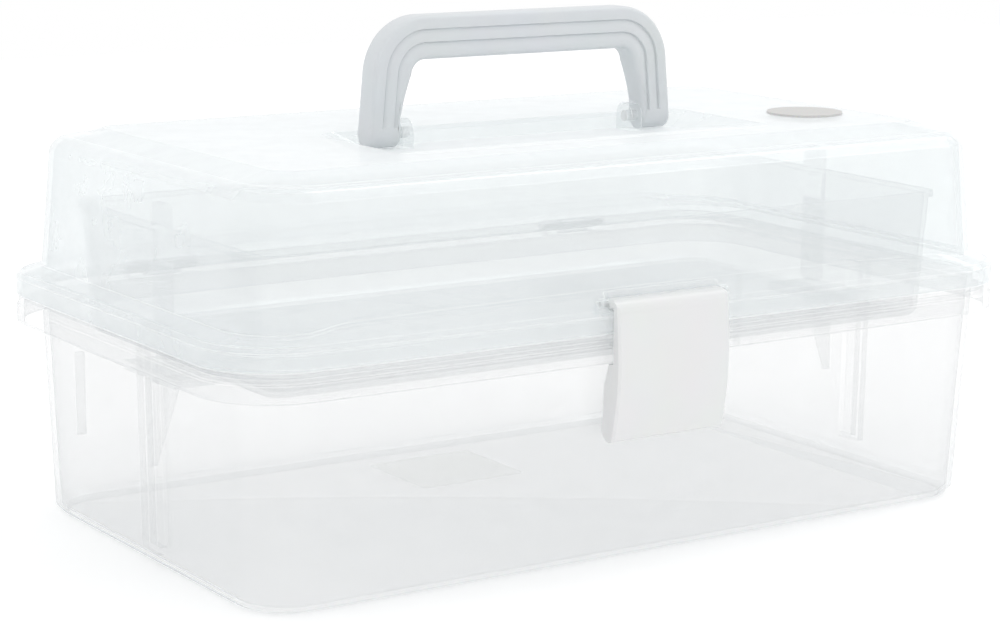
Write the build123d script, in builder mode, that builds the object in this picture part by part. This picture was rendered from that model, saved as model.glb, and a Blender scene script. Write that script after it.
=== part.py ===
"""Clear carry box with a hinged lid, folding handle, front latch and lift-out tray.

Millimetres. Origin at the centre of the underside, X to the right, Y to the back, Z up.
"""
import os
from math import atan2, degrees

from build123d import *

os.makedirs("parts", exist_ok=True)

# Rim, the master outline that every other outline is stepped in from
rim_length = 330.0
rim_width = 188.6
rim_corner = 28.0
rim_bow = 1.0

# Base tub
tub_step_x = 10.85
tub_step_y = 3.25
tub_ref_drop = 4.0
floor_step_x = 1.35
floor_step_y = 5.1
tub_corner = 20.5
tub_wall = 2.0
floor_thickness = 2.2
floor_edge_bevels = (3.6, 1.2)
inner_bevel = 1.6
tongue_rise = 4.0

# Rim flange of the base, a lip that hangs from a web
flange_top = 82.0
lip_drop = 10.0
lip_step_drop = 3.5
lip_step = 0.7
lip_thickness = 1.8
flange_web = 2.3
rim_edge_bevel = 0.5

# Lid
parting_gap = 0.2
lid_wall = 1.8
skirt_height = 7.8
skirt_edge_bevel = 1.6
shoulder_rise = 7.0
shoulder_end_step = 21.0
shoulder_side_step = 6.6
shoulder_bite = 0.3
lid_ref_rise = 5.0
lid_foot_step_x = 9.25
lid_foot_step_y = 5.05
lid_head_step = 3.8
lid_corner = 24.0
lid_head_drop = 3.2
head_edge_round = 6.5
head_inner_bevel = 3.0
crease_drop = 0.25
band_step = 5.6
band_corner = 20.5
band_inset = 11.4
panel_height = 141.4

# Shallow pan in the lid's top, which the handle folds down into
pan_half = 79.0
pan_back = 10.0
pan_front = -54.0
pan_depth = 5.3
pan_floor_half = 69.5
pan_floor_back = 5.5
pan_floor_front = -14.0
pan_floor_corner = 9.0

# Handle
handle_y = -2.3
handle_thickness = 10.0
handle_foot_half = 65.3
handle_pivot_above_pan = 5.4
handle_top = 182.6
handle_bar = 15.4
handle_shoulder_drop = 15.6
handle_shoulder_half = 61.0
handle_flat_half = 43.5
handle_inner_foot_half = 52.5
handle_inner_shoulder_half = 47.3
handle_inner_flat_half = 41.0
handle_outer_corner = 9.0
handle_inner_corner = 5.0
handle_edge_bevel = 0.9
groove_width = 1.4
groove_depth = 0.8
groove_insets = (4.4, 9.1)

# Handle lugs on the lid and their pins
handle_lug_thickness = 4.6
handle_lug_gap = 0.4
handle_lug_half_width = 5.0
handle_pin_radius = 2.0
handle_pin_into_foot = 8.0
handle_groove_start = 2.4

# Running and push fits
running_fit = 0.1
push_fit = 0.02

# Latch, placed from the front of the rim, with its barrel in a notch in the lid's shoulder
latch_width = 47.0
latch_gap = 0.3
latch_barrel_radius = 1.8
latch_pivot_in = 2.6
latch_pivot_rise = 1.7
latch_top_corner = 2.4
latch_top_front_out = 3.9
latch_front_out = 5.1
latch_bend_drop = 18.0
latch_low_front_out = 1.6
latch_low_drop = 44.8
latch_bottom_drop = 45.6
latch_bottom_in = 0.7
latch_heel_drop = 41.7
latch_hook_drop = 8.5
latch_hook_gap = 0.5
latch_hook_reach = 2.4
latch_wall_gap = 0.5
latch_edge_bevel = 0.8
latch_lug_gap = 0.4
latch_lug_thickness = 2.6
latch_lug_radius = 1.9
latch_notch_clearance = 0.3
latch_notch_skin = 0.4
latch_pin_radius = 1.0
latch_pin_short = 0.2

# Rear hinges, placed from the back of the rim
hinge_out = 4.2
hinge_spacing = 95.0
knuckle_radius = 3.0
knuckle_length = 8.0
lid_knuckle_length = 13.4
knuckle_gap = 0.3
hinge_pin_radius = 1.5
hinge_pin_short = 0.4
knuckle_root_in = 0.7

# Columns, ribs and tray shelves on the end walls
column_y = -13.0
column_width = 12.0
column_proud = 2.8
column_wall = 2.0
column_bottom = 6.5
column_top_drop = 1.5
shelf_y = -5.9
shelf_width = 39.2
shelf_depth = 20.8
shelf_drop = 14.2
shelf_thickness = 3.0
shelf_corner = 5.0
shelf_rib_y = -3.0
shelf_rib_bottom = 33.6
far_rib_y = 54.0
far_rib_bottom = 33.0
far_rib_top = 63.0
far_rib_depth = 3.0
rib_thickness = 1.6

# Lift-out tray
tray_gap = 0.2
tray_floor_step_x = 2.0
tray_floor_step_y = 2.5
tray_top_step_x = 23.0
tray_top_step_y = 21.8
tray_corner = 9.0
tray_headroom = 26.4
tray_wall = 1.6
tray_floor = 1.8
tray_edge_bevel = 2.0
tray_lip_out = 1.4
tray_lip_height = 2.0
tray_tab_bite = 0.5
tray_tab_width = 11.0
tray_tab_rise = 8.5
tray_tab_thickness = 2.4
tray_tab_corner = 3.0

# Bare badge and label
badge_radius = 14.2
badge_thickness = 0.8
badge_from_end = 23.5
badge_from_front = 38.5
label_length = 45.0
label_width = 41.0
label_thickness = 0.25
label_x = -1.5
label_y = 43.5
label_corner = 2.0
sheet_lift = 0.02


# Sizes that follow from those above
tub_ref_height = flange_top - tub_ref_drop
tongue_top = flange_top + tongue_rise
lip_bottom = flange_top - lip_drop
lip_step_height = flange_top - lip_step_drop
lid_bottom = flange_top + parting_gap
skirt_top = lid_bottom + skirt_height
shoulder_top = skirt_top + shoulder_rise
lid_ref_height = skirt_top + lid_ref_rise
lid_head_height = panel_height - lid_head_drop
column_top = flange_top - column_top_drop
shelf_top = flange_top - shelf_drop
tray_top = panel_height - tray_headroom
handle_shoulder_z = handle_top - handle_shoulder_drop
tub_length = rim_length - 2 * tub_step_x
tub_width = rim_width - 2 * tub_step_y
floor_length = tub_length - 2 * floor_step_x
floor_width = tub_width - 2 * floor_step_y
lid_foot_length = rim_length - 2 * lid_foot_step_x
lid_foot_width = rim_width - 2 * lid_foot_step_y
lid_head_length = lid_foot_length - 2 * lid_head_step
lid_head_width = lid_foot_width - 2 * lid_head_step
lid_lean = lid_head_step / (lid_head_height - lid_ref_height)
band_length = lid_head_length - 2 * band_step
band_width = lid_head_width - 2 * band_step
panel_length = band_length - 2 * band_inset
panel_width = band_width - 2 * band_inset
pan_floor = panel_height - pan_depth
pivot_z = pan_floor + handle_pivot_above_pan
lug_x = handle_inner_foot_half - handle_lug_gap - handle_lug_thickness / 2
hinge_y = rim_width / 2 + hinge_out
hinge_z = flange_top + parting_gap / 2
knuckle_root_y = rim_width / 2 - knuckle_root_in
latch_pivot_y = -rim_width / 2 + latch_pivot_in
latch_pivot_z = skirt_top + latch_pivot_rise
latch_notch_half = latch_width / 2 + latch_lug_gap
latch_lug_end = latch_notch_half + latch_lug_thickness
latch_notch_floor = latch_pivot_z - latch_barrel_radius - latch_notch_clearance
latch_notch_rear_y = -lid_foot_width / 2 - latch_notch_skin
shelf_reach = floor_length / 2 - shelf_depth
tray_bottom = shelf_top + tray_gap
tray_top_length = rim_length - 2 * tray_top_step_x
tray_top_width = rim_width - 2 * tray_top_step_y
badge_x = panel_length / 2 - badge_from_end
badge_y = -panel_width / 2 + badge_from_front


def bowed(end_inset, side_inset, corner):
    """The rim's outline moved inward at its ends and sides; its two long sides bulge outward."""
    half_l, half_w = rim_length / 2 - end_inset, rim_width / 2 - side_inset
    with BuildSketch() as outline:
        with BuildLine():
            ThreePointArc((-half_l, -half_w), (0, -half_w - rim_bow), (half_l, -half_w))
            Line((half_l, -half_w), (half_l, half_w))
            ThreePointArc((half_l, half_w), (0, half_w + rim_bow), (-half_l, half_w))
            Line((-half_l, half_w), (-half_l, -half_w))
        make_face()
        fillet(outline.vertices(), corner)
    return outline.sketch


def rim_outline(inset):
    """The rim's outline moved inward by the same inset all round."""
    return bowed(inset, inset, rim_corner - inset)


def between(low, high, height, low_at, high_at):
    """The value at height on a straight line from low at low_at to high at high_at."""
    return low + (high - low) * (height - low_at) / (high_at - low_at)


def tapered(low, high, lengths, widths, corner, low_bevels=()):
    """A block with flat sloping sides, round upright corners and bevelled bottom edges."""
    with BuildPart() as block:
        with BuildSketch(Plane.XZ):
            with BuildLine():
                Polyline(
                    (-lengths[0] / 2, low), (lengths[0] / 2, low), (lengths[1] / 2, high), (-lengths[1] / 2, high),
                    close=True,
                )
            make_face()
        extrude(amount=max(widths), both=True)
        with BuildSketch(Plane.YZ):
            with BuildLine():
                Polyline(
                    (-widths[0] / 2, low), (widths[0] / 2, low), (widths[1] / 2, high), (-widths[1] / 2, high),
                    close=True,
                )
            make_face()
        extrude(amount=max(lengths), both=True, mode=Mode.INTERSECT)
        fillet(block.edges().group_by(Axis.Z)[1], corner)
        for bevel in low_bevels:
            chamfer(block.edges().group_by(Axis.Z)[0], bevel)
    return block.part


def tub_block(low, high, grow, low_bevels=()):
    """The tub's outside from low to high, grown on all sides."""
    return tapered(
        low,
        high,
        [between(floor_length, tub_length, height, 0, tub_ref_height) + 2 * grow for height in (low, high)],
        [between(floor_width, tub_width, height, 0, tub_ref_height) + 2 * grow for height in (low, high)],
        tub_corner + grow,
        low_bevels,
    )


def lid_block(low, high, inset, high_round=0, high_bevel=0):
    """The lid's walls from low to high, leaning in alike all round, moved inward by inset."""
    step = inset + (low - lid_ref_height) * lid_lean
    with BuildPart() as block:
        with BuildSketch(Plane.XY.offset(low)):
            RectangleRounded(lid_foot_length - 2 * step, lid_foot_width - 2 * step, lid_corner - step)
        extrude(amount=high - low, taper=degrees(atan2(lid_lean, 1)))
        if high_round > 0:
            fillet(block.edges().group_by(Axis.Z)[-1], high_round)
        if high_bevel > 0:
            chamfer(block.edges().group_by(Axis.Z)[-1], high_bevel)
    return block.part


def pan_outline(height, grow=0):
    """The pan's outline at a height; the walls' outside, when grown, has plain corners."""
    half = between(pan_floor_half, pan_half, height, pan_floor, panel_height) + grow
    back = between(pan_floor_back, pan_back, height, pan_floor, panel_height) + grow
    front = between(pan_floor_front, pan_front, height, pan_floor, panel_height) - grow
    with BuildSketch() as outline:
        with Locations((0, (front + back) / 2)):
            if grow > 0:
                Rectangle(2 * half, back - front)
            else:
                RectangleRounded(2 * half, back - front, pan_floor_corner)
    return outline.sketch


# Hollow columns that stand proud of both end walls
column_outside = tub_block(column_bottom, column_top, column_proud)
column_inside = tub_block(0, tongue_top, -tub_wall / 2)
column_hollow = tub_block(column_bottom + column_wall, column_top - column_wall, column_proud - column_wall)
with BuildPart() as columns:
    add(column_outside)
    with Locations((0, column_y, tongue_top / 2)):
        Box(2 * tub_length, column_width, tongue_top, mode=Mode.INTERSECT)
    add(column_inside, mode=Mode.SUBTRACT)

with BuildPart() as column_slots:
    add(column_hollow)
    with Locations((0, column_y, tongue_top / 2)):
        Box(2 * tub_length, column_width - 2 * column_wall, tongue_top, mode=Mode.INTERSECT)

# Base tub
tub_outside = tub_block(0, tongue_top, 0, floor_edge_bevels)
tub_inside = tub_block(floor_thickness, tongue_top, -tub_wall, (inner_bevel,))
with BuildPart() as base_tub:
    with BuildSketch(Plane.XY.offset(lip_bottom)):
        add(rim_outline(0))
    extrude(amount=lip_step_height - lip_bottom)
    chamfer(base_tub.edges().group_by(Axis.Z)[-1] + base_tub.edges().group_by(Axis.Z)[0], rim_edge_bevel)
    with BuildSketch(Plane.XY.offset(lip_step_height)):
        add(rim_outline(lip_step))
    extrude(amount=flange_top - lip_step_height)
    with BuildSketch(Plane.XY.offset(lip_bottom)):
        add(rim_outline(lip_step + lip_thickness))
    extrude(amount=flange_top - flange_web - lip_bottom, mode=Mode.SUBTRACT)
    add(tub_outside)
    add(tub_inside, mode=Mode.SUBTRACT)
    add(columns.part)
    add(column_slots.part, mode=Mode.SUBTRACT)
    # Shelves and ribs on both end walls
    for side in (-1, 1):
        with BuildSketch(Plane.XY.offset(shelf_top - shelf_thickness)):
            with Locations((side * (shelf_reach + floor_length / 2) / 2, shelf_y)):
                Rectangle(floor_length / 2 - shelf_reach, shelf_width)
        extrude(amount=shelf_thickness)
        with BuildSketch(Plane.XZ.offset(-shelf_rib_y - rib_thickness / 2)):
            with BuildLine():
                Polyline(
                    (side * floor_length / 2, shelf_top - shelf_thickness),
                    (side * (shelf_reach + shelf_corner), shelf_top - shelf_thickness),
                    (side * (floor_length / 2 - shelf_corner), shelf_rib_bottom),
                    (side * floor_length / 2, shelf_rib_bottom),
                    close=True,
                )
            make_face()
        extrude(amount=rib_thickness)
        with Locations((
            side * (floor_length / 2 - tub_wall / 2 - far_rib_depth / 2),
            far_rib_y,
            (far_rib_bottom + far_rib_top) / 2,
        )):
            Box(far_rib_depth + tub_wall, rib_thickness, far_rib_top - far_rib_bottom)
    # Rear hinge knuckles
    for side in (-1, 1):
        for place in (-1, 1):
            knuckle_x = side * hinge_spacing + place * (
                lid_knuckle_length / 2 + knuckle_gap + knuckle_length / 2
            )
            with Locations(Location((knuckle_x, hinge_y, hinge_z), (0, 90, 0))):
                Cylinder(knuckle_radius, knuckle_length)
            with Locations((
                knuckle_x,
                (knuckle_root_y + hinge_y) / 2,
                (hinge_z - knuckle_radius + flange_top) / 2,
            )):
                Box(knuckle_length, hinge_y - knuckle_root_y, flange_top - hinge_z + knuckle_radius)
        with Locations(Location((side * hinge_spacing, hinge_y, hinge_z), (0, 90, 0))):
            Cylinder(
                hinge_pin_radius + push_fit,
                lid_knuckle_length + 4 * knuckle_length,
                mode=Mode.SUBTRACT,
            )
base_tub.part.label = "base_tub"

# Lid
lid_outside = lid_block(lid_bottom, lid_head_height, 0, high_round=head_edge_round)
lid_inside = lid_block(lid_bottom, lid_head_height - lid_wall, lid_wall, high_bevel=head_inner_bevel)
band_rise = panel_height - lid_head_height + crease_drop
band_slope = degrees(atan2(band_inset, band_rise))
skirt_bevel_middle = skirt_edge_bevel / 2

with BuildPart() as lid_cavity:
    add(lid_inside)
    with BuildSketch(Plane.XY.offset(lid_head_height - crease_drop - lid_wall)):
        RectangleRounded(band_length - 2 * lid_wall, band_width - 2 * lid_wall, band_corner - lid_wall)
    extrude(amount=band_rise, taper=band_slope)
    with BuildSketch(Plane.XY.offset(lid_bottom)):
        add(rim_outline(lid_wall))
    extrude(amount=skirt_top - skirt_bevel_middle - lid_wall - lid_bottom)
    with BuildSketch(Plane.XY.offset(skirt_top - skirt_bevel_middle - lid_wall)):
        add(rim_outline(lid_wall))
    with BuildSketch(Plane.XY.offset(shoulder_top - lid_wall)):
        add(bowed(shoulder_end_step + lid_wall, shoulder_side_step + lid_wall, rim_corner - lid_wall))
    loft(ruled=True)

with BuildPart() as lid_shell:
    with BuildSketch(Plane.XY.offset(lid_bottom)):
        add(rim_outline(0))
    extrude(amount=skirt_top - lid_bottom)
    chamfer(lid_shell.edges().group_by(Axis.Z)[-1], skirt_edge_bevel)
    with BuildSketch(Plane.XY.offset(skirt_top - skirt_bevel_middle)):
        add(rim_outline(skirt_bevel_middle + shoulder_bite))
    with BuildSketch(Plane.XY.offset(shoulder_top)):
        add(bowed(shoulder_end_step, shoulder_side_step, rim_corner - skirt_bevel_middle - shoulder_bite))
    loft(ruled=True)
    add(lid_outside)
    with BuildSketch(Plane.XY.offset(lid_head_height - crease_drop)):
        RectangleRounded(band_length, band_width, band_corner)
    extrude(amount=band_rise, taper=band_slope)
    add(lid_cavity.part, mode=Mode.SUBTRACT)
    # Pan for the folded handle
    with BuildSketch(Plane.XY.offset(pan_floor - lid_wall)):
        add(pan_outline(pan_floor, lid_wall / 2))
    with BuildSketch(Plane.XY.offset(panel_height - lid_wall)):
        add(pan_outline(panel_height, lid_wall / 2))
    loft(ruled=True)
    with BuildSketch(Plane.XY.offset(pan_floor)):
        add(pan_outline(pan_floor))
    with BuildSketch(Plane.XY.offset(panel_height)):
        add(pan_outline(panel_height))
    loft(ruled=True, mode=Mode.SUBTRACT)
    # Lugs that the handle turns on
    for side in (-1, 1):
        with BuildSketch(Plane.YZ.offset(side * lug_x - handle_lug_thickness / 2)):
            with BuildLine():
                Polyline(
                    (handle_y - handle_lug_half_width, pivot_z),
                    (handle_y - handle_lug_half_width, pan_floor),
                    (handle_y + handle_lug_half_width, pan_floor),
                    (handle_y + handle_lug_half_width, pivot_z),
                )
                ThreePointArc(
                    (handle_y + handle_lug_half_width, pivot_z),
                    (handle_y, pivot_z + handle_lug_half_width),
                    (handle_y - handle_lug_half_width, pivot_z),
                )
            make_face()
        extrude(amount=handle_lug_thickness)
        with Locations(Location((side * lug_x, handle_y, pivot_z), (0, 90, 0))):
            Cylinder(handle_pin_radius + running_fit, 2 * handle_lug_thickness, mode=Mode.SUBTRACT)
    # Notch in the shoulder for the latch's barrel, walled in below and behind
    with BuildSketch(Plane.YZ.offset(-latch_lug_end)):
        with BuildLine():
            Polyline(
                (-rim_width / 2 - rim_bow + lid_wall / 2, latch_notch_floor - lid_wall),
                (-rim_width / 2 - rim_bow + lid_wall / 2, skirt_top - skirt_edge_bevel),
                (-lid_foot_width / 2 + lid_wall / 2, shoulder_top - lid_wall),
                (latch_notch_rear_y + lid_wall, shoulder_top - lid_wall),
                (latch_notch_rear_y + lid_wall, latch_notch_floor - lid_wall),
                close=True,
            )
        make_face()
    extrude(amount=2 * latch_lug_end)
    with BuildSketch(Plane.YZ.offset(-latch_notch_half)):
        with BuildLine():
            Polyline(
                (latch_notch_rear_y, latch_notch_floor),
                (latch_notch_rear_y, shoulder_top),
                (-rim_width / 2 - 2 * rim_bow, shoulder_top),
                (-rim_width / 2 - 2 * rim_bow, latch_notch_floor),
                close=True,
            )
        make_face()
    extrude(amount=2 * latch_notch_half, mode=Mode.SUBTRACT)
    # Lugs at the notch's ends that carry the latch pin
    for side in (-1, 1):
        lug_middle = side * (latch_notch_half + latch_lug_thickness / 2)
        with Locations(Location((lug_middle, latch_pivot_y, latch_pivot_z), (0, 90, 0))):
            Cylinder(latch_lug_radius, latch_lug_thickness)
            Cylinder(latch_pin_radius + push_fit, 2 * latch_lug_thickness, mode=Mode.SUBTRACT)
    # Rear hinge knuckles
    for side in (-1, 1):
        with Locations(Location((side * hinge_spacing, hinge_y, hinge_z), (0, 90, 0))):
            Cylinder(knuckle_radius, lid_knuckle_length)
        with Locations((
            side * hinge_spacing,
            (knuckle_root_y + hinge_y) / 2,
            (lid_bottom + hinge_z + knuckle_radius) / 2,
        )):
            Box(lid_knuckle_length, hinge_y - knuckle_root_y, hinge_z + knuckle_radius - lid_bottom)
        with Locations(Location((side * hinge_spacing, hinge_y, hinge_z), (0, 90, 0))):
            Cylinder(hinge_pin_radius + running_fit, 2 * lid_knuckle_length, mode=Mode.SUBTRACT)
lid_shell.part.label = "lid_shell"


def handle_outside(inset):
    """Front view of the handle's outside, run down past its feet, moved inward by inset."""
    with BuildSketch() as view:
        with BuildLine():
            Polyline(
                (-handle_foot_half, pan_floor - handle_bar),
                (-handle_foot_half, pivot_z),
                (-handle_shoulder_half, handle_shoulder_z),
                (-handle_flat_half, handle_top),
                (handle_flat_half, handle_top),
                (handle_shoulder_half, handle_shoulder_z),
                (handle_foot_half, pivot_z),
                (handle_foot_half, pan_floor - handle_bar),
                close=True,
            )
        make_face()
        fillet(view.vertices().filter_by_position(Axis.Y, pivot_z, handle_top + push_fit), handle_outer_corner)
        if inset > 0:
            offset(amount=-inset, mode=Mode.REPLACE)
    return view.sketch


# Handle, front view on the plane of its front face
handle_front = Plane.XZ.offset(handle_thickness / 2 - handle_y)
with BuildPart() as handle:
    with BuildSketch(handle_front):
        add(handle_outside(0))
        with BuildSketch(mode=Mode.SUBTRACT) as opening:
            with BuildLine():
                Polyline(
                    (-handle_inner_foot_half, pan_floor - 2 * handle_bar),
                    (-handle_inner_foot_half, pivot_z + handle_lug_half_width + handle_lug_gap),
                    (-handle_inner_shoulder_half, handle_top - handle_bar - handle_inner_corner),
                    (-handle_inner_flat_half, handle_top - handle_bar),
                    (handle_inner_flat_half, handle_top - handle_bar),
                    (handle_inner_shoulder_half, handle_top - handle_bar - handle_inner_corner),
                    (handle_inner_foot_half, pivot_z + handle_lug_half_width + handle_lug_gap),
                    (handle_inner_foot_half, pan_floor - 2 * handle_bar),
                    close=True,
                )
            make_face()
            fillet(opening.vertices().group_by(Axis.Y)[-1], handle_inner_corner)
        with Locations((0, pivot_z - handle_bar)):
            Rectangle(3 * handle_foot_half, 2 * handle_bar, mode=Mode.SUBTRACT)
    extrude(amount=-handle_thickness)
    chamfer(
        handle.faces().sort_by(Axis.Y)[0].edges().filter_by_position(Axis.Z, pivot_z + push_fit, handle_top + push_fit)
        + handle.faces().sort_by(Axis.Y)[-1].edges().filter_by_position(Axis.Z, pivot_z + push_fit, handle_top + push_fit),
        handle_edge_bevel,
    )
    foot_mid = (handle_foot_half + handle_inner_foot_half) / 2
    for side in (-1, 1):
        with Locations(Location((side * foot_mid, handle_y, pivot_z), (0, 90, 0))):
            Cylinder(handle_thickness / 2, handle_foot_half - handle_inner_foot_half)
        with Locations(Location((
            side * (handle_inner_foot_half + handle_pin_into_foot / 2), handle_y, pivot_z
        ), (0, 90, 0))):
            Cylinder(handle_pin_radius + push_fit, handle_pin_into_foot, mode=Mode.SUBTRACT)
    # Grooves that follow the outside on both faces
    for inset in groove_insets:
        for face_y, inward in ((handle_thickness / 2 - handle_y, -1), (-handle_thickness / 2 - handle_y, 1)):
            with BuildSketch(Plane.XZ.offset(face_y)):
                add(handle_outside(inset))
                add(handle_outside(inset + groove_width), mode=Mode.SUBTRACT)
                with Locations((0, pivot_z + handle_groove_start - handle_bar)):
                    Rectangle(3 * handle_foot_half, 2 * handle_bar, mode=Mode.SUBTRACT)
            extrude(amount=inward * groove_depth, mode=Mode.SUBTRACT)
handle.part.label = "handle"

# Handle pins, pushed into the feet and free to turn in the lid's lugs
handle_pins = []
for side, label in ((-1, "handle_pin_left"), (1, "handle_pin_right")):
    with BuildPart() as handle_pin:
        shank_start = lug_x - handle_lug_thickness / 2 - running_fit
        shank_end = handle_inner_foot_half + handle_pin_into_foot - running_fit
        with Locations(Location((side * (shank_start + shank_end) / 2, handle_y, pivot_z), (0, 90, 0))):
            Cylinder(handle_pin_radius, shank_end - shank_start)
    handle_pin.part.label = label
    handle_pins.append(handle_pin)

def tub_front(height):
    """The tub's front face at a height."""
    return -between(floor_width, tub_width, height, 0, tub_ref_height) / 2


# Latch, side view with its front to the left
latch_top = latch_pivot_z + latch_barrel_radius
latch_top_front_y = -rim_width / 2 - latch_top_front_out
latch_front_y = -rim_width / 2 - latch_front_out
latch_low_front_y = -rim_width / 2 - latch_low_front_out
latch_bottom_y = -rim_width / 2 + latch_bottom_in
latch_back_y = -rim_width / 2 - rim_bow - latch_gap
latch_under = skirt_top + parting_gap
latch_bend_z = skirt_top - latch_bend_drop
latch_low_z = skirt_top - latch_low_drop
latch_bottom = skirt_top - latch_bottom_drop
latch_heel_z = skirt_top - latch_heel_drop
latch_hook_top = lip_bottom - latch_hook_gap
latch_hook_low_z = lip_bottom - latch_hook_drop
with BuildPart() as latch:
    with BuildSketch(Plane.YZ.offset(-latch_width / 2)):
        with Locations((latch_pivot_y, latch_pivot_z)):
            Circle(latch_barrel_radius)
        with BuildLine():
            Line((latch_pivot_y, latch_top), (latch_top_front_y + latch_top_corner, latch_top))
            TangentArc(
                (latch_top_front_y + latch_top_corner, latch_top),
                (latch_top_front_y, latch_top - latch_top_corner),
                tangent=(-1, 0),
            )
            Line((latch_top_front_y, latch_top - latch_top_corner), (latch_front_y, latch_bend_z))
            TangentArc(
                (latch_front_y, latch_bend_z), (latch_low_front_y, latch_low_z), tangent=(0, -1)
            )
            ThreePointArc(
                (latch_low_front_y, latch_low_z),
                (latch_bottom_y, latch_bottom),
                (tub_front(latch_heel_z) - latch_wall_gap, latch_heel_z),
            )
            Polyline(
                (tub_front(latch_heel_z) - latch_wall_gap, latch_heel_z),
                (tub_front(latch_hook_low_z) - latch_wall_gap, latch_hook_low_z),
                (latch_back_y + latch_hook_reach, latch_hook_top),
                (latch_back_y, latch_hook_top),
                (latch_back_y, latch_under),
                (latch_pivot_y, latch_under),
                (latch_pivot_y, latch_top),
            )
        make_face()
    extrude(amount=latch_width)
    latch_ends = latch.faces().sort_by(Axis.X)
    chamfer(
        [
            edge
            for end in (latch_ends[0], latch_ends[-1])
            for edge in end.edges().filter_by_position(
                Axis.Y, latch_front_y - latch_top_corner, latch_back_y - latch_gap
            )
            + end.edges().filter_by_position(Axis.Z, latch_under - push_fit, latch_under + push_fit)
        ],
        latch_edge_bevel,
    )
    with Locations(Location((0, latch_pivot_y, latch_pivot_z), (0, 90, 0))):
        Cylinder(latch_pin_radius + running_fit, 2 * latch_width, mode=Mode.SUBTRACT)
latch.part.label = "latch"

with BuildPart() as latch_pin:
    with Locations(Location((0, latch_pivot_y, latch_pivot_z), (0, 90, 0))):
        Cylinder(latch_pin_radius, 2 * (latch_lug_end - latch_pin_short))
latch_pin.part.label = "latch_pin"

# Hinge pins
hinge_pins = []
for side, label in ((-1, "hinge_pin_left"), (1, "hinge_pin_right")):
    with BuildPart() as hinge_pin:
        with Locations(Location((side * hinge_spacing, hinge_y, hinge_z), (0, 90, 0))):
            Cylinder(
                hinge_pin_radius,
                lid_knuckle_length + 2 * (knuckle_gap + knuckle_length - hinge_pin_short),
            )
    hinge_pin.part.label = label
    hinge_pins.append(hinge_pin)

# Lift-out tray
def tray_block(low, high, inset, bevel):
    """The tray's outside from low to high, moved inward by inset."""
    return tapered(
        low,
        high,
        [
            between(tray_top_length - 2 * tray_floor_step_x, tray_top_length, height, tray_bottom, tray_top)
            - 2 * inset
            for height in (low, high)
        ],
        [
            between(tray_top_width - 2 * tray_floor_step_y, tray_top_width, height, tray_bottom, tray_top)
            - 2 * inset
            for height in (low, high)
        ],
        tray_corner - inset,
        (bevel,),
    )


tray_outside = tray_block(tray_bottom, tray_top, 0, tray_edge_bevel)
tray_inside = tray_block(tray_bottom + tray_floor, tray_top, tray_wall, tray_edge_bevel / 2)
with BuildPart() as tray:
    add(tray_outside)
    with BuildSketch(Plane.XY.offset(tray_top - tray_lip_height)):
        RectangleRounded(
            tray_top_length + 2 * tray_lip_out, tray_top_width + 2 * tray_lip_out, tray_corner + tray_lip_out
        )
    extrude(amount=tray_lip_height)
    for side in (-1, 1):
        tab_x = side * (tray_top_length / 2 + tray_tab_thickness / 2 - tray_tab_bite)
        with BuildSketch(Plane.YZ.offset(tab_x - tray_tab_thickness / 2)):
            with Locations((0, (tray_bottom + tray_top + tray_tab_rise + tray_edge_bevel) / 2)):
                RectangleRounded(
                    tray_tab_width,
                    tray_top + tray_tab_rise - tray_bottom - tray_edge_bevel,
                    tray_tab_corner,
                )
        extrude(amount=tray_tab_thickness)
    add(tray_inside, mode=Mode.SUBTRACT)
tray.part.label = "tray"

# Bare round badge on the lid
with BuildPart() as lid_badge:
    with Locations((badge_x, badge_y, panel_height + sheet_lift + badge_thickness / 2)):
        Cylinder(badge_radius, badge_thickness)
lid_badge.part.label = "lid_badge"

# Bare label on the floor
with BuildPart() as floor_label:
    with BuildSketch(Plane.XY.offset(floor_thickness + sheet_lift)):
        with Locations((label_x, label_y)):
            RectangleRounded(label_length, label_width, label_corner)
    extrude(amount=label_thickness)
floor_label.part.label = "floor_label"

for built in (
    base_tub, lid_shell, handle, *handle_pins, latch, latch_pin, *hinge_pins, tray, lid_badge, floor_label,
):
    export_step(built.part, f"parts/{built.part.label}.step")
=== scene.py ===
"""Looks of the clear carry box: plastics, handle, latch, pins, bare badge and label, in a plain studio."""

import math

import bmesh
import bpy
from bpy.props import FloatProperty, FloatVectorProperty, PointerProperty
from mathutils import Matrix, Vector


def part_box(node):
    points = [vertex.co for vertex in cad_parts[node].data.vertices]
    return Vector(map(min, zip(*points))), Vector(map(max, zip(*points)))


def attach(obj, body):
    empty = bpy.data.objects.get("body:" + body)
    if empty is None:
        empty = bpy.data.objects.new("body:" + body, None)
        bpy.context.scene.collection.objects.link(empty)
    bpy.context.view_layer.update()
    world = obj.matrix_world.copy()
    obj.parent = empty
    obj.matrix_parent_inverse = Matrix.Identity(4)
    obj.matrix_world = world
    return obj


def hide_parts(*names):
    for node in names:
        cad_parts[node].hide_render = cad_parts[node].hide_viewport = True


bl_info = {
    "name": "Clear carry box looks",
    "version": (1, 0, 0),
    "blender": (4, 5, 0),
    "location": "View3D > Sidebar > Carry box",
    "description": "Finishes the clear carry box with its latch, handle and tray, in a plain pale studio",
    "category": "Object",
}

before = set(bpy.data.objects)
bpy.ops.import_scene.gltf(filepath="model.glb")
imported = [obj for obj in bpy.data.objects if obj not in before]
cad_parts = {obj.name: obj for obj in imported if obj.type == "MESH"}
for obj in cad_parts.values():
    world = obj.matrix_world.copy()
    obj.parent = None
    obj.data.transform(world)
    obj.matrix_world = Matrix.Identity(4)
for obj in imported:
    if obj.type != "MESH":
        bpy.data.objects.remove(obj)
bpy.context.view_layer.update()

MM = 0.001
WHITE = (1, 1, 1, 1)

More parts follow.
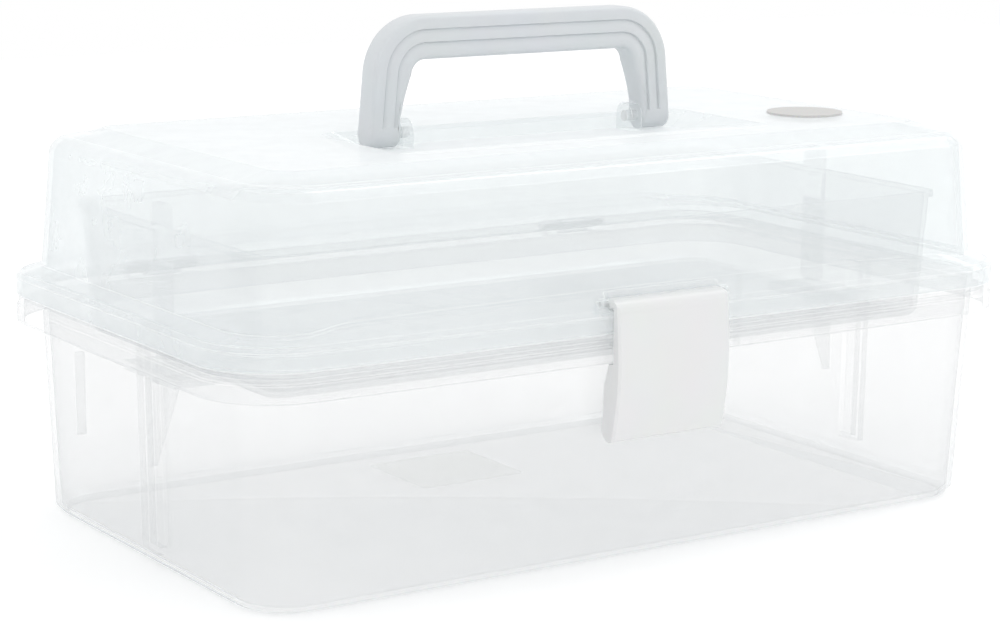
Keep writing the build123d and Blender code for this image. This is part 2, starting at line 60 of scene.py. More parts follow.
# Moulded polypropylene
PLASTIC_IOR = 1.49
SIDE_LIMIT = 1.04  # keeps the way through a wall finite where it is seen from the side
PATCH_SIZE = 20 * MM
GRAIN_DEPTH = 0.02 * MM
RIPPLE_DEPTH = 0.05 * MM
HANDLE_ROUGHNESS = 0.38
LATCH_ROUGHNESS = 0.32

# Gloss of the clear walls: the share mirrored head on, what the side view adds, and at moulded edges
MIRROR_AHEAD = 0.04
MIRROR_ASIDE = 0.15
MIRROR_POWER = 5.0
# Painted shade: how tightly the grey outline gathers where a clear wall is seen edge-on
PAINTED_OUTLINE_POWER = 12.0
POLISHED_EDGE = 0.5
EDGE_WIDTH = 0.6 * MM
EDGE_TURN = (0.985, 0.88)

# Pins and films; the rod's lines are counted per metre, along it and across it
ROD_MILK = 0.3
ROD_TINT = (0.96, 0.96, 0.96, 1)
ROD_LINES = (30, 1200, 1200)
BADGE_GRAIN = 0.8 * MM
BADGE_METAL = 0.6
BADGE_ROUGHNESS = 0.42
LABEL_GRAIN = 1.5 * MM
LABEL_COVER = 0.16

# Sections of the handle, and where over the pivot its grooves begin and have their depth
CORNER_STEPS = 4
FOOT_STEPS = 6
LEG_STEPS = 5
ARC_STEPS = 18
GROOVE_START = 2.2 * MM
GROOVE_FULL = 2.9 * MM
HANDLE_CREASE = math.radians(35)

# Slices of the latch's round top
LATCH_SLICES = 8
LATCH_CREASE = math.radians(30)

# Studio: the camera's azimuth, elevation and roll are in degrees, its shift is to the left and down
FLOOR_REACH = 1.6
LOOK_AT = (0, 0, 0.08)
LAMP_SIZE = (0.4, 1.3)
LAMP_PLACE = (0.95, 0.0, 1.3)
SENSOR_MM = 36.0
CAMERA_ANGLES = (-33.521, 11.188, 0.427)
CAMERA_SHIFT = (0.00491, 0.01039)
CAMERA_DISTANCE = 0.990
NEAR_CLIP = 0.01
LIGHT_BOUNCES = 32


def linear(hex_colour):
    """The linear RGB of an sRGB hex colour."""
    parts = [int(hex_colour[i:i + 2], 16) / 255 for i in (1, 3, 5)]
    return tuple(c / 12.92 if c <= 0.04045 else ((c + 0.055) / 1.055) ** 2.4 for c in parts)


def add_node(tree, kind, settings=None, **inputs):
    """Adds a node; settings are its own options, inputs are values or the sockets that feed it."""
    node = tree.nodes.new(kind)
    for name, value in (settings or {}).items():
        setattr(node, name, value)
    for name, value in inputs.items():
        key = int(name[1:]) if name[0] == "i" and name[1:].isdigit() else name.replace("_", " ")
        if isinstance(value, bpy.types.NodeSocket):
            tree.links.new(value, node.inputs[key])
        else:
            node.inputs[key].default_value = value
    return node


def new_material(name):
    """An empty node material and its output node."""
    material = bpy.data.materials.new(name)
    material.use_nodes = True
    material.node_tree.nodes.clear()
    return material, material.node_tree, add_node(material.node_tree, "ShaderNodeOutputMaterial")


def dress(node_name, material):
    """Gives a CAD node's surface the material."""
    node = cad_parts[node_name]
    node.data.materials.clear()
    node.data.materials.append(material)


def object_point(tree):
    """A surface point in the object's own metres."""
    return add_node(tree, "ShaderNodeTexCoord").outputs["Object"]


class ClearPlasticSettings(bpy.types.PropertyGroup):
    """Clear moulded polypropylene of the tub, lid and tray."""
    tub_colour: FloatVectorProperty(
        name="Tub tint", description="Colour that the tub's walls give what is seen through them",
        subtype="COLOR", size=3, min=0, max=1, default=linear("#FDFDFD"))
    lid_colour: FloatVectorProperty(
        name="Lid tint", description="Colour that the lid's walls give what is seen through them",
        subtype="COLOR", size=3, min=0, max=1, default=linear("#FEFFFF"))
    tray_colour: FloatVectorProperty(
        name="Tray tint", description="Colour that the tray's walls give what is seen through them",
        subtype="COLOR", size=3, min=0, max=1, default=linear("#FDFDFD"))
    milk_colour: FloatVectorProperty(
        name="Milk colour", description="Colour of the light that the plastic scatters",
        subtype="COLOR", size=3, min=0, max=1, default=linear("#F0F1F2"))
    lid_milk_colour: FloatVectorProperty(
        name="Lid milk colour", description="Colour of the light that the lid's plastic scatters",
        subtype="COLOR", size=3, min=0, max=1, default=linear("#FCFEFF"))
    # The edge tint is partly the real tint of light through a wall seen from the side and partly the painted
    # shade of the grey outline
    edge_tint_and_painted_shade: FloatVectorProperty(
        name="Edge tint", description="Colour of what is seen through a wall from the side",
        subtype="COLOR", size=3, min=0, max=1, default=linear("#EDEFF0"))
    # The tray's edge tint is likewise the real tint through its wall seen from the side and the painted shade
    # of its grey outline
    tray_edge_tint_and_painted_shade: FloatVectorProperty(
        name="Tray edge tint", description="Colour of what is seen through the tray's wall from the side",
        subtype="COLOR", size=3, min=0, max=1, default=linear("#DADEE0"))
    tub_milk: FloatProperty(
        name="Tub milkiness", description="Share of light that one surface of the tub scatters",
        min=0, max=1, default=0.06)
    lid_milk: FloatProperty(
        name="Lid milkiness", description="Share of light that one surface of the lid scatters",
        min=0, max=1, default=0.14)
    tray_milk: FloatProperty(
        name="Tray milkiness", description="Share of light that one surface of the tray scatters",
        min=0, max=1, default=0.045)
    roughness: FloatProperty(
        name="Polish", description="Roughness of the polished mould's surface", min=0, max=1, default=0.08)
    haze_size: FloatProperty(
        name="Haze patch size", description="Size of the faint flow patches in the plastic",
        subtype="DISTANCE", unit="LENGTH", min=0.001, max=0.2, default=0.018)


class HandleSettings(bpy.types.PropertyGroup):
    """Shape of the folding handle between its feet and its top, which the frame gives."""
    corner_radius: FloatProperty(
        name="Corner radius", description="Radius of the handle's outside between a leg and the bar",
        subtype="DISTANCE", unit="LENGTH", min=0.016, max=0.03, default=0.021)
    leg_lean: FloatProperty(
        name="Leg lean", description="How far a leg's outside leans in from its foot to the top",
        subtype="DISTANCE", unit="LENGTH", min=0, max=0.01, default=0.0037)
    foot_width: FloatProperty(
        name="Foot width", description="Width of a foot beside its lug",
        subtype="DISTANCE", unit="LENGTH", min=0.005, max=0.02, default=0.0128)
    bar_height: FloatProperty(
        name="Bar height", description="Height of the bar that the hand holds",
        subtype="DISTANCE", unit="LENGTH", min=0.005, max=0.02, default=0.0154)
    lug_height: FloatProperty(
        name="Lug height", description="Height over the pivot below which a leg stays clear of its lug",
        subtype="DISTANCE", unit="LENGTH", min=0.004, max=0.01, default=0.0055)
    edge_round: FloatProperty(
        name="Edge round", description="Radius of the handle's long edges",
        subtype="DISTANCE", unit="LENGTH", min=0.0002, max=0.003, default=0.0016)
    groove_depth: FloatProperty(
        name="Groove depth", description="Depth of the two grooves along each face",
        subtype="DISTANCE", unit="LENGTH", min=0, max=0.002, default=0.0009)
    groove_width: FloatProperty(
        name="Groove width", description="Width of one groove, steep outside and gentle inside",
        subtype="DISTANCE", unit="LENGTH", min=0.0005, max=0.003, default=0.002)
    groove_step: FloatProperty(
        name="Groove step", description="Way from the outside to the first groove, and on to the second",
        subtype="DISTANCE", unit="LENGTH", min=0.003, max=0.006, default=0.0046)


class LatchSettings(bpy.types.PropertyGroup):
    """Round top of the latch; the rest of its shape is the frame's."""
    top_round: FloatProperty(
        name="Top round", description="Radius from the latch's front over to its top",
        subtype="DISTANCE", unit="LENGTH", min=0.003, max=0.0055, default=0.005)
    top_set_back: FloatProperty(
        name="Top set back", description="How far the round begins behind the latch's foremost point",
        subtype="DISTANCE", unit="LENGTH", min=0, max=0.003, default=0.00104)


class SolidPlasticSettings(bpy.types.PropertyGroup):
    """Grey handle and white latch."""
    handle_colour: FloatVectorProperty(
        name="Handle grey", description="Colour of the handle",
        subtype="COLOR", size=3, min=0, max=1, default=linear("#D6DADD"))
    latch_colour: FloatVectorProperty(
        name="Latch white", description="Colour of the latch",
        subtype="COLOR", size=3, min=0, max=1, default=linear("#E5E6E6"))
    grain: FloatProperty(
        name="Mould grain", description="Size of the fine grain that the mould leaves",
        subtype="DISTANCE", unit="LENGTH", min=0.0001, max=0.01, default=0.0006)


class TrimSettings(bpy.types.PropertyGroup):
    """Pins, badge and label."""
    rod_colour: FloatVectorProperty(
        name="Pin white", description="Colour of the pins",
        subtype="COLOR", size=3, min=0, max=1, default=linear("#F6F6F6"))
    badge_colour: FloatVectorProperty(
        name="Badge film", description="Colour of the bare silvered badge",
        subtype="COLOR", size=3, min=0, max=1, default=linear("#DBDAD8"))
    label_colour: FloatVectorProperty(
        name="Label film", description="Colour of the bare label on the floor",
        subtype="COLOR", size=3, min=0, max=1, default=linear("#FFFFFC"))


class StageSettings(bpy.types.PropertyGroup):
    """Camera, light and floor."""
    lens: FloatProperty(
        name="Lens", description="Focal length in millimetres on a 36 mm sensor",
        min=10, max=300, default=96.73)
    sky_strength: FloatProperty(
        name="Sky strength", description="Even light from all round", min=0, max=4, default=1.052)
    floor_lift: FloatProperty(
        name="Floor lift", description="How much whiter the floor looks than its light makes it",
        min=0, max=1, default=0.08)
    sky_lean: FloatVectorProperty(
        name="Sky lean", description="Where and by what share the sky is lighter: left, in front and below",
        subtype="XYZ", size=3, min=-1, max=1, default=(-0.02, -0.04, -0.06))
    key_power: FloatProperty(
        name="Key power", description="Power of the soft strip lamp in watts", min=0, max=200, default=3.2)
    floor_colour: FloatVectorProperty(
        name="Floor", description="Colour of the pale floor",
        subtype="COLOR", size=3, min=0, max=1, default=linear("#FFFFFF"))


def wall_path(tree, thickness):
    """How much of the light a milky wall scatters: more where it is looked at from the side."""
    facing = add_node(tree, "ShaderNodeLayerWeight", Blend=0.5).outputs["Facing"]
    across = add_node(tree, "ShaderNodeMath", {"operation": "SUBTRACT"}, i0=SIDE_LIMIT, i1=facing).outputs[0]
    path = add_node(tree, "ShaderNodeMath", {"operation": "DIVIDE"}, i0=thickness, i1=across).outputs[0]
    left = add_node(tree, "ShaderNodeMath", {"operation": "MULTIPLY"}, i0=path, i1=-1.0).outputs[0]
    left = add_node(tree, "ShaderNodeMath", {"operation": "EXPONENT"}, i0=left).outputs[0]
    return facing, add_node(tree, "ShaderNodeMath", {"operation": "SUBTRACT"}, i0=1.0, i1=left).outputs[0]


def polished_edges(tree):
    """Share of a surface point that lies on a moulded edge, which catches the light."""
    rounded = add_node(tree, "ShaderNodeBevel", {"samples": 4}, Radius=EDGE_WIDTH).outputs["Normal"]
    flat = add_node(tree, "ShaderNodeNewGeometry").outputs["Normal"]
    alike = add_node(tree, "ShaderNodeVectorMath", {"operation": "DOT_PRODUCT"}, i0=rounded, i1=flat)
    edge = add_node(tree, "ShaderNodeMapRange", Value=alike.outputs["Value"], From_Min=EDGE_TURN[0],
                    From_Max=EDGE_TURN[1], To_Min=0.0, To_Max=POLISHED_EDGE)
    return edge.outputs["Result"]


def clear_plastic(name, tint, milkiness, milk_colour, edge_tint_and_painted_shade, settings):
    """Polypropylene, injection moulded in a polished mould: see-through, a little milky, with a wet gloss."""
    material, tree, output = new_material(name)
    point = object_point(tree)
    flow = add_node(tree, "ShaderNodeTexNoise", Vector=point, Scale=1 / settings.haze_size, Detail=3.0)
    milk = add_node(tree, "ShaderNodeMapRange", Value=flow.outputs["Fac"], From_Min=0.3, From_Max=0.7,
                    To_Min=milkiness * 0.92, To_Max=milkiness * 1.08)
    facing, scattered = wall_path(tree, milk.outputs["Result"])
    gloss = add_node(tree, "ShaderNodeMapRange", Value=flow.outputs["Fac"], From_Min=0.35, From_Max=0.7,
                     To_Min=settings.roughness * 0.7, To_Max=settings.roughness * 1.4)
    ripple = add_node(tree, "ShaderNodeBump", Strength=0.12, Distance=RIPPLE_DEPTH,
                      Height=flow.outputs["Fac"])
    body = add_node(tree, "ShaderNodeBsdfPrincipled", Roughness=0.5, Normal=ripple.outputs["Normal"],
                    IOR=PLASTIC_IOR)
    body.inputs["Base Color"].default_value = (*milk_colour, 1)
    body.inputs["Specular IOR Level"].default_value = 0.0
    # A longer way through the milky wall takes more light; the soft grey outline where a wall is seen edge-on
    # is painted shade, in place of the dark edges that bent light gives clear plastic
    painted_outline_shade = add_node(tree, "ShaderNodeMath", {"operation": "POWER"},
                       i0=facing, i1=PAINTED_OUTLINE_POWER).outputs[0]
    path_and_painted_shade = add_node(tree, "ShaderNodeMath", {"operation": "MAXIMUM"}, i0=scattered, i1=painted_outline_shade).outputs[0]
    shade = add_node(tree, "ShaderNodeMixRGB", Fac=path_and_painted_shade)
    shade.inputs["Color1"].default_value = (*tint, 1)
    shade.inputs["Color2"].default_value = (*edge_tint_and_painted_shade, 1)
    through = add_node(tree, "ShaderNodeBsdfTransparent", Color=shade.outputs["Color"])
    wall = add_node(tree, "ShaderNodeMixShader", i0=scattered,
                    i1=through.outputs["BSDF"], i2=body.outputs["BSDF"])
    steep = add_node(tree, "ShaderNodeMath", {"operation": "POWER"}, i0=facing, i1=MIRROR_POWER).outputs[0]
    mirrored = add_node(tree, "ShaderNodeMath", {"operation": "MULTIPLY_ADD"},
                        i0=steep, i1=MIRROR_ASIDE, i2=MIRROR_AHEAD).outputs[0]
    mirrored = add_node(tree, "ShaderNodeMath", {"operation": "MAXIMUM"},
                        i0=mirrored, i1=polished_edges(tree)).outputs[0]
    shine = add_node(tree, "ShaderNodeBsdfGlossy", Color=WHITE, Roughness=gloss.outputs["Result"],
                     Normal=ripple.outputs["Normal"])
    polished = add_node(tree, "ShaderNodeMixShader", i0=mirrored,
                        i1=wall.outputs["Shader"], i2=shine.outputs["BSDF"])
    tree.links.new(polished.outputs["Shader"], output.inputs["Surface"])
    return material


def solid_plastic(name, colour, grain, roughness):
    """Polypropylene, injection moulded in a finely eroded mould: an even colour with a satin gloss."""
    material, tree, output = new_material(name)
    point = object_point(tree)
    fine = add_node(tree, "ShaderNodeTexNoise", Vector=point, Scale=1 / grain, Detail=2.0)
    broad = add_node(tree, "ShaderNodeTexNoise", Vector=point, Scale=1 / PATCH_SIZE, Detail=2.0)
    shade = add_node(tree, "ShaderNodeMixRGB", {"blend_type": "MULTIPLY"}, Fac=0.05,
                     Color2=broad.outputs["Color"])
    shade.inputs["Color1"].default_value = (*colour, 1)
    gloss = add_node(tree, "ShaderNodeMapRange", Value=broad.outputs["Fac"], From_Min=0.3, From_Max=0.7,
                     To_Min=roughness * 0.85, To_Max=roughness * 1.15)
    bump = add_node(tree, "ShaderNodeBump", Strength=0.25, Distance=GRAIN_DEPTH, Height=fine.outputs["Fac"])
    body = add_node(tree, "ShaderNodeBsdfPrincipled", Roughness=gloss.outputs["Result"],
                    Normal=bump.outputs["Normal"], IOR=PLASTIC_IOR, Base_Color=shade.outputs["Color"])
    tree.links.new(body.outputs["BSDF"], output.inputs["Surface"])
    return material


def drawn_rod(name, colour):
    """Natural polypropylene rod, drawn: milky and mostly see-through, with fine lines along its length."""
    material, tree, output = new_material(name)
    along = add_node(tree, "ShaderNodeMapping", Vector=object_point(tree), Scale=ROD_LINES)
    lines = add_node(tree, "ShaderNodeTexNoise", Vector=along.outputs["Vector"], Scale=1.0, Detail=2.0)
    shade = add_node(tree, "ShaderNodeMixRGB", {"blend_type": "MULTIPLY"}, Fac=0.06,
                     Color2=lines.outputs["Color"])
    shade.inputs["Color1"].default_value = (*colour, 1)
    gloss = add_node(tree, "ShaderNodeMapRange", Value=lines.outputs["Fac"], To_Min=0.25, To_Max=0.4)
    body = add_node(tree, "ShaderNodeBsdfPrincipled", Roughness=gloss.outputs["Result"], IOR=PLASTIC_IOR,
                    Base_Color=shade.outputs["Color"])
    through = add_node(tree, "ShaderNodeBsdfTransparent", Color=ROD_TINT)
    rod = add_node(tree, "ShaderNodeMixShader", i0=ROD_MILK,
                   i1=through.outputs["BSDF"], i2=body.outputs["BSDF"])
    tree.links.new(rod.outputs["Shader"], output.inputs["Surface"])
    return material


def silvered_film(name, colour):
    """Polyester film, metallised and satin: grey with a soft sheen and a fine grain."""
    material, tree, output = new_material(name)
    grain = add_node(tree, "ShaderNodeTexNoise", Vector=object_point(tree), Scale=1 / BADGE_GRAIN, Detail=3.0)
    shade = add_node(tree, "ShaderNodeMixRGB", {"blend_type": "MULTIPLY"}, Fac=0.25,
                     Color2=grain.outputs["Color"])
    shade.inputs["Color1"].default_value = (*colour, 1)
    body = add_node(tree, "ShaderNodeBsdfPrincipled", Metallic=BADGE_METAL, Roughness=BADGE_ROUGHNESS,
                    Base_Color=shade.outputs["Color"])
    tree.links.new(body.outputs["BSDF"], output.inputs["Surface"])
    return material


def label_film(name, colour):
    """Polyester film, matt printed: thin, pale and nearly see-through."""
    material, tree, output = new_material(name)
    grain = add_node(tree, "ShaderNodeTexNoise", Vector=object_point(tree), Scale=1 / LABEL_GRAIN, Detail=3.0)
    gloss = add_node(tree, "ShaderNodeMapRange", Value=grain.outputs["Fac"], To_Min=0.45, To_Max=0.6)
    body = add_node(tree, "ShaderNodeBsdfPrincipled", Roughness=gloss.outputs["Result"], Alpha=LABEL_COVER)
    body.inputs["Base Color"].default_value = (*colour, 1)
    tree.links.new(body.outputs["BSDF"], output.inputs["Surface"])
    return material


def handle_ring(width, half_thickness, depth, sizes):
    """One section of the handle: pairs of the way in from its outside and the way back to front."""
    corner = min(sizes.edge_round, 0.9 * half_thickness)
    quarter = [math.radians(90 * i / CORNER_STEPS) for i in range(CORNER_STEPS + 1)]
    face = [(corner * (1 - math.cos(a)), half_thickness - corner * (1 - math.sin(a))) for a in quarter]
    for start in (sizes.groove_step, 2 * sizes.groove_step):
        face += [(start, half_thickness), (start + 0.2 * sizes.groove_width, half_thickness - depth),
                 (start + sizes.groove_width, half_thickness)]
    face += [(width - corner * (1 - math.sin(a)), half_thickness - corner * (1 - math.cos(a)))
             for a in quarter]
    return [(inset, -out) for inset, out in face] + [(inset, out) for inset, out in reversed(face)]


def handle_stations(foot_half, pivot_z, top_z, radius_y, sizes):
    """Sections along the left half of the handle, from its foot to the middle of the bar."""
    lean = math.atan2(sizes.leg_lean, top_z - pivot_z)
    turn = math.pi / 2 - lean
    reach = sizes.corner_radius * math.tan(turn / 2)
    apex_x = -foot_half + sizes.leg_lean
    leg_end_z = top_z - reach * math.cos(lean)
    centre = (apex_x + reach, top_z - sizes.corner_radius)
    lug_top = pivot_z + sizes.lug_height

    def leg(z, half_thickness, depth):
        up = max(0.0, z - pivot_z) / (leg_end_z - pivot_z)
        x = -foot_half + max(0.0, z - pivot_z) * math.tan(lean)
        spread = max(0.0, z - lug_top) / (leg_end_z - lug_top)
        foot = x + foot_half
        width = sizes.foot_width - foot + spread * (sizes.bar_height - sizes.foot_width + foot)
        # The section tips from level at the foot to square across the leg at the corner
        return (x, z), (math.cos(lean * up), -math.sin(lean * up)), width, half_thickness, depth

    stations = [leg(pivot_z - radius_y * math.sin(a), radius_y * math.cos(a), 0.0)
                for a in (math.radians(80 - 80 * i / FOOT_STEPS) for i in range(FOOT_STEPS))]
    stations.append(leg(pivot_z, radius_y, 0.0))
    stations.append(leg(pivot_z + GROOVE_START, radius_y, 0.0))
    stations.append(leg(pivot_z + GROOVE_FULL, radius_y, sizes.groove_depth))
    stations.append(leg(lug_top, radius_y, sizes.groove_depth))
    for i in range(1, LEG_STEPS):
        stations.append(leg(lug_top + (leg_end_z - lug_top) * i / LEG_STEPS, radius_y, sizes.groove_depth))
    for i in range(ARC_STEPS + 1):
        angle = lean + turn * i / ARC_STEPS
        inward = (math.cos(angle), -math.sin(angle))
        place = (centre[0] - sizes.corner_radius * inward[0], centre[1] - sizes.corner_radius * inward[1])
        stations.append((place, inward, sizes.bar_height, radius_y, sizes.groove_depth))
    stations.append(((0.5 * centre[0], top_z), (0.0, -1.0), sizes.bar_height, radius_y, sizes.groove_depth))
    return stations


def handle_mesh(sizes):
    """The folding handle: flat feet, leaning legs, round corners and two grooves along each face."""
    low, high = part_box("handle")
    foot_half, middle_y, top_z = high[0], (low[1] + high[1]) / 2, high[2]
    radius_y = (high[1] - low[1]) / 2
    left = handle_stations(foot_half, low[2] + radius_y, top_z, radius_y, sizes)
    middle = ((0.0, top_z), (0.0, -1.0), sizes.bar_height, radius_y, sizes.groove_depth)
    right = [((-x, z), (-in_x, in_z), *rest) for (x, z), (in_x, in_z), *rest in reversed(left)]
    build = bmesh.new()
    rings = []
    for (x, z), (in_x, in_z), width, half_thickness, depth in left + [middle] + right:
        rings.append([build.verts.new((x + in_x * inset, middle_y + out, z + in_z * inset))
                      for inset, out in handle_ring(width, half_thickness, depth, sizes)])
    for ring, following in zip(rings, rings[1:]):
        for i, corner in enumerate(ring):
            after = (i + 1) % len(ring)
            build.faces.new((corner, ring[after], following[after], following[i]))
    build.faces.new(rings[0])
    build.faces.new(rings[-1])
    bmesh.ops.recalc_face_normals(build, faces=build.faces)
    mesh = bpy.data.meshes.new("carry_handle")
    build.to_mesh(mesh)
    build.free()
    mesh.shade_smooth()
    mesh.set_sharp_from_angle(angle=HANDLE_CREASE)
    return mesh


def latch_mesh(sizes):
    """The frame's latch with its front rolled over into its top; nothing stands outside the frame's solid."""
    low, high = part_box("latch")
    centre_y = low[1] + sizes.top_set_back + sizes.top_round
    centre_z = high[2] - sizes.top_round
    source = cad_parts["latch"].data
    build = bmesh.new()
    points = [build.verts.new(vertex.co) for vertex in source.vertices]
    for polygon in source.polygons:
        build.faces.new([points[i] for i in polygon.vertices])
    bmesh.ops.remove_doubles(build, verts=build.verts, dist=0.001 * MM)
    for i in range(LATCH_SLICES):
        height = centre_z + sizes.top_round * math.sin(math.radians(90 * i / LATCH_SLICES))
        bmesh.ops.bisect_plane(build, geom=build.verts[:] + build.edges[:] + build.faces[:],
                               plane_co=(0, 0, height), plane_no=(0, 0, 1))
    for vertex in build.verts:
        rise = vertex.co.z - centre_z
        if rise > 0:
            rolled = centre_y - math.sqrt(max(sizes.top_round ** 2 - rise ** 2, 0))
            vertex.co.y = max(vertex.co.y, rolled)
    bmesh.ops.remove_doubles(build, verts=build.verts, dist=0.01 * MM)
    bmesh.ops.dissolve_degenerate(build, edges=build.edges, dist=0.01 * MM)
    bmesh.ops.recalc_face_normals(build, faces=build.faces)
    mesh = bpy.data.meshes.new("swing_latch")
    build.to_mesh(mesh)
    build.free()
    mesh.shade_smooth()
    mesh.set_sharp_from_angle(angle=LATCH_CREASE)
    return mesh


def replace_node(name, mesh, material, node):
    """Stands a modelled piece in for a CAD node, on the body of the same name."""
    mesh.materials.append(material)
    piece = bpy.data.objects.new(name, mesh)
    bpy.context.scene.collection.objects.link(piece)
    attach(piece, node)
    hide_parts(node)


class CARRYBOX_OT_shells(bpy.types.Operator):
    """Finish the tub, the lid and the tray in clear moulded polypropylene"""
    bl_idname = "carrybox.shells"
    bl_label = "Clear shells"

    def execute(self, context):
        settings = context.scene.carrybox_clear
        # Each shell gets its tint, milk and edge tint; the edge tint also paints the shade of the grey
        # outline
        for node, part, tint, milk, colour, edge in (
            ("base_tub", "tub", settings.tub_colour, settings.tub_milk, settings.milk_colour,
             settings.edge_tint_and_painted_shade),
            ("lid_shell", "lid", settings.lid_colour, settings.lid_milk, settings.lid_milk_colour,
             settings.edge_tint_and_painted_shade),
            ("tray", "tray", settings.tray_colour, settings.tray_milk, settings.milk_colour,
             settings.tray_edge_tint_and_painted_shade),
        ):
            name = "Polypropylene moulded clear " + part
            dress(node, clear_plastic(name, tint, milk, colour, edge, settings))
        return {"FINISHED"}


class CARRYBOX_OT_handle(bpy.types.Operator):
    """Model the folding handle with its round corners, in grey moulded polypropylene"""
    bl_idname = "carrybox.handle"
    bl_label = "Handle"

    def execute(self, context):
        settings = context.scene.carrybox_solid
        grey = solid_plastic("Polypropylene moulded pale grey", settings.handle_colour, settings.grain,
                             HANDLE_ROUGHNESS)
        mesh = handle_mesh(context.scene.carrybox_handle)
        replace_node("carry_handle", mesh, grey, "handle")
        return {"FINISHED"}


class CARRYBOX_OT_latch(bpy.types.Operator):
    """Model the front latch with its round top, in white moulded polypropylene"""
    bl_idname = "carrybox.latch"
    bl_label = "Latch"

    def execute(self, context):
        settings = context.scene.carrybox_solid
        white = solid_plastic("Polypropylene moulded white", settings.latch_colour, settings.grain,
                              LATCH_ROUGHNESS)
        mesh = latch_mesh(context.scene.carrybox_latch)
        replace_node("swing_latch", mesh, white, "latch")
        return {"FINISHED"}


class CARRYBOX_OT_pins(bpy.types.Operator):
    """Finish the handle, latch and hinge pins in drawn polypropylene rod"""
    bl_idname = "carrybox.pins"
    bl_label = "Pins"

    def execute(self, context):
        rod = drawn_rod("Polypropylene drawn rod", context.scene.carrybox_trim.rod_colour)
        for name in ("handle_pin_left", "handle_pin_right", "latch_pin", "hinge_pin_left", "hinge_pin_right"):
            dress(name, rod)
        return {"FINISHED"}


class CARRYBOX_OT_badge_and_label(bpy.types.Operator):
    """Finish the bare badge and the bare floor label in polyester film"""
    bl_idname = "carrybox.badge_and_label"
    bl_label = "Badge and label"

    def execute(self, context):
        settings = context.scene.carrybox_trim
        dress("lid_badge", silvered_film("Polyester film silvered", settings.badge_colour))
        dress("floor_label", label_film("Polyester film matt", settings.label_colour))
        return {"FINISHED"}


def seen_ray(tree):
    """1 for what the camera sees directly, in a gloss or through a wall, and 0 for light on the object."""
    path = add_node(tree, "ShaderNodeLightPath")
    seen = add_node(tree, "ShaderNodeMath", {"operation": "MAXIMUM"},
                    i0=path.outputs["Is Camera Ray"], i1=path.outputs["Is Transmission Ray"])
    return add_node(tree, "ShaderNodeMath", {"operation": "MAXIMUM"},
                    i0=seen.outputs[0], i1=path.outputs["Is Glossy Ray"]).outputs[0]


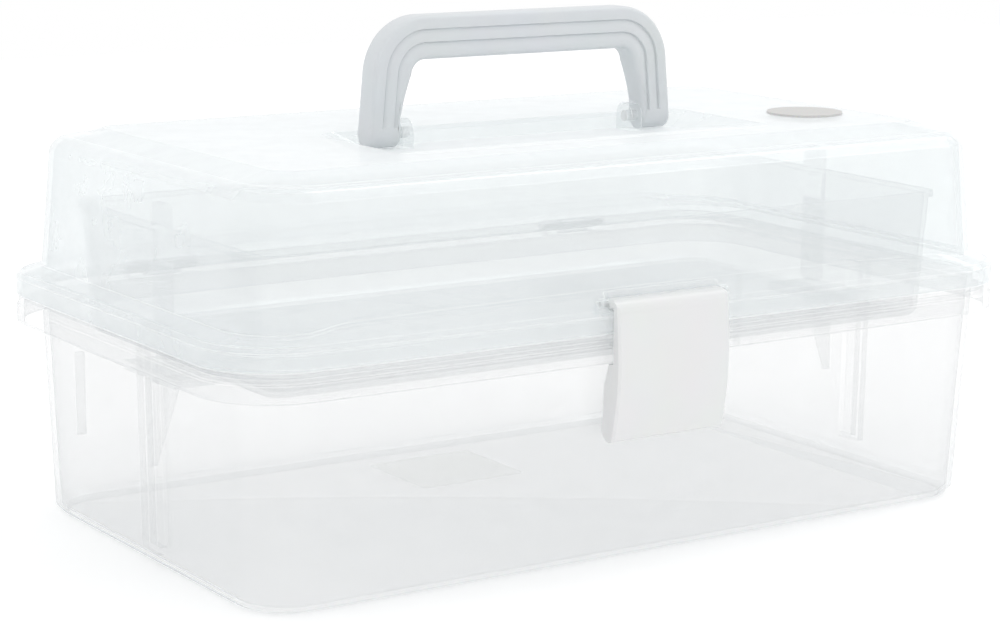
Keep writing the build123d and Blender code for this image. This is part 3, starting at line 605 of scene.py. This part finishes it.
class CARRYBOX_OT_stage(bpy.types.Operator):
    """Set the pale floor, the soft lamps, the sky and the camera"""
    bl_idname = "carrybox.stage"
    bl_label = "Stage"

    def execute(self, context):
        scene = context.scene
        settings = scene.carrybox_stage

        # Floor
        mesh = bpy.data.meshes.new("floor")
        corners = [(-FLOOR_REACH, -FLOOR_REACH, 0), (FLOOR_REACH, -FLOOR_REACH, 0),
                   (FLOOR_REACH, FLOOR_REACH, 0), (-FLOOR_REACH, FLOOR_REACH, 0)]
        mesh.from_pydata(corners, [], [(0, 1, 2, 3)])
        floor = bpy.data.objects.new("floor", mesh)
        scene.collection.objects.link(floor)
        material, tree, output = new_material("Floor pale matt")
        body = add_node(tree, "ShaderNodeBsdfDiffuse")
        body.inputs["Color"].default_value = (*settings.floor_colour, 1)
        lift = add_node(tree, "ShaderNodeMath", {"operation": "MULTIPLY"},
                        i0=seen_ray(tree), i1=settings.floor_lift)
        glow = add_node(tree, "ShaderNodeEmission", Strength=lift.outputs[0])
        lit = add_node(tree, "ShaderNodeAddShader", i0=body.outputs["BSDF"], i1=glow.outputs["Emission"])
        tree.links.new(lit.outputs["Shader"], output.inputs["Surface"])
        mesh.materials.append(material)

        # Sky
        world = bpy.data.worlds.new("studio")
        scene.world = world
        world.use_nodes = True
        tree = world.node_tree
        tree.nodes.clear()
        output = add_node(tree, "ShaderNodeOutputWorld")
        white = add_node(tree, "ShaderNodeBackground", Color=WHITE, Strength=1.0)
        lean = add_node(tree, "ShaderNodeVectorMath", {"operation": "DOT_PRODUCT"},
                        i0=add_node(tree, "ShaderNodeTexCoord").outputs["Generated"], i1=settings.sky_lean)
        level = add_node(tree, "ShaderNodeMath", {"operation": "MULTIPLY_ADD"}, i0=lean.outputs["Value"],
                         i1=settings.sky_strength, i2=settings.sky_strength)
        light = add_node(tree, "ShaderNodeBackground", Color=WHITE, Strength=level.outputs[0])
        mixed = add_node(tree, "ShaderNodeMixShader", i0=seen_ray(tree),
                         i1=light.outputs["Background"], i2=white.outputs["Background"])
        tree.links.new(mixed.outputs["Shader"], output.inputs["Surface"])

        # One soft strip lamp over the right end
        lamp = bpy.data.lights.new("strip", "AREA")
        lamp.shape = "RECTANGLE"
        lamp.size, lamp.size_y = LAMP_SIZE
        lamp.energy = settings.key_power
        holder = bpy.data.objects.new("strip", lamp)
        holder.location = LAMP_PLACE
        aim = Vector(LOOK_AT) - holder.location
        holder.rotation_euler = aim.to_track_quat("-Z", "Y").to_euler()
        scene.collection.objects.link(holder)

        # Camera, at the photograph's viewing angle
        azimuth, elevation, roll = (math.radians(angle) for angle in CAMERA_ANGLES)
        back = Vector((math.sin(azimuth) * math.cos(elevation),
                       -math.cos(azimuth) * math.cos(elevation), math.sin(elevation)))
        right = Vector((0, 0, 1)).cross(back).normalized()
        up = back.cross(right)
        right, up = (math.cos(roll) * right + math.sin(roll) * up,
                     -math.sin(roll) * right + math.cos(roll) * up)
        eye = Vector(LOOK_AT) - right * CAMERA_SHIFT[0] - up * CAMERA_SHIFT[1] + back * CAMERA_DISTANCE
        camera = bpy.data.cameras.new("camera")
        camera.sensor_width = SENSOR_MM
        camera.lens = settings.lens
        camera.clip_start = NEAR_CLIP
        holder = bpy.data.objects.new("camera", camera)
        holder.matrix_world = Matrix((
            (right.x, up.x, back.x, eye.x), (right.y, up.y, back.y, eye.y),
            (right.z, up.z, back.z, eye.z), (0, 0, 0, 1)))
        scene.collection.objects.link(holder)
        scene.camera = holder

        scene.view_settings.view_transform = "Standard"
        # Many clear walls lie behind each other, so light passes more of them than usual
        scene.cycles.max_bounces = LIGHT_BOUNCES
        scene.cycles.transmission_bounces = LIGHT_BOUNCES
        scene.cycles.transparent_max_bounces = LIGHT_BOUNCES
        return {"FINISHED"}


class CARRYBOX_PT_panel(bpy.types.Panel):
    """Lists the steps of the looks and their sizes and colours"""
    bl_idname = "CARRYBOX_PT_panel"
    bl_label = "Carry box"
    bl_space_type = "VIEW_3D"
    bl_region_type = "UI"
    bl_category = "Carry box"

    def draw(self, context):
        for operator in OPERATORS:
            self.layout.operator(operator.bl_idname)
        for name in SETTINGS:
            settings = getattr(context.scene, name)
            for prop in settings.bl_rna.properties:
                if prop.identifier not in ("rna_type", "name"):
                    self.layout.prop(settings, prop.identifier)


SETTINGS = {
    "carrybox_clear": ClearPlasticSettings,
    "carrybox_handle": HandleSettings,
    "carrybox_latch": LatchSettings,
    "carrybox_solid": SolidPlasticSettings,
    "carrybox_trim": TrimSettings,
    "carrybox_stage": StageSettings,
}
OPERATORS = (
    CARRYBOX_OT_shells, CARRYBOX_OT_handle, CARRYBOX_OT_latch, CARRYBOX_OT_pins,
    CARRYBOX_OT_badge_and_label, CARRYBOX_OT_stage,
)


def register():
    """Registers the settings, the operators and the panel."""
    for name, group in SETTINGS.items():
        bpy.utils.register_class(group)
        setattr(bpy.types.Scene, name, PointerProperty(type=group))
    for operator in OPERATORS:
        bpy.utils.register_class(operator)
    bpy.utils.register_class(CARRYBOX_PT_panel)


def unregister():
    """Takes them out again, in the opposite order."""
    bpy.utils.unregister_class(CARRYBOX_PT_panel)
    for operator in reversed(OPERATORS):
        bpy.utils.unregister_class(operator)
    for name, group in reversed(SETTINGS.items()):
        delattr(bpy.types.Scene, name)
        bpy.utils.unregister_class(group)


def main():
    """Runs every operator in order."""
    register()
    for operator in OPERATORS:
        family, name = operator.bl_idname.split(".")
        getattr(getattr(bpy.ops, family), name)()
    bpy.context.view_layer.update()


if __name__ == "__main__":
    main()
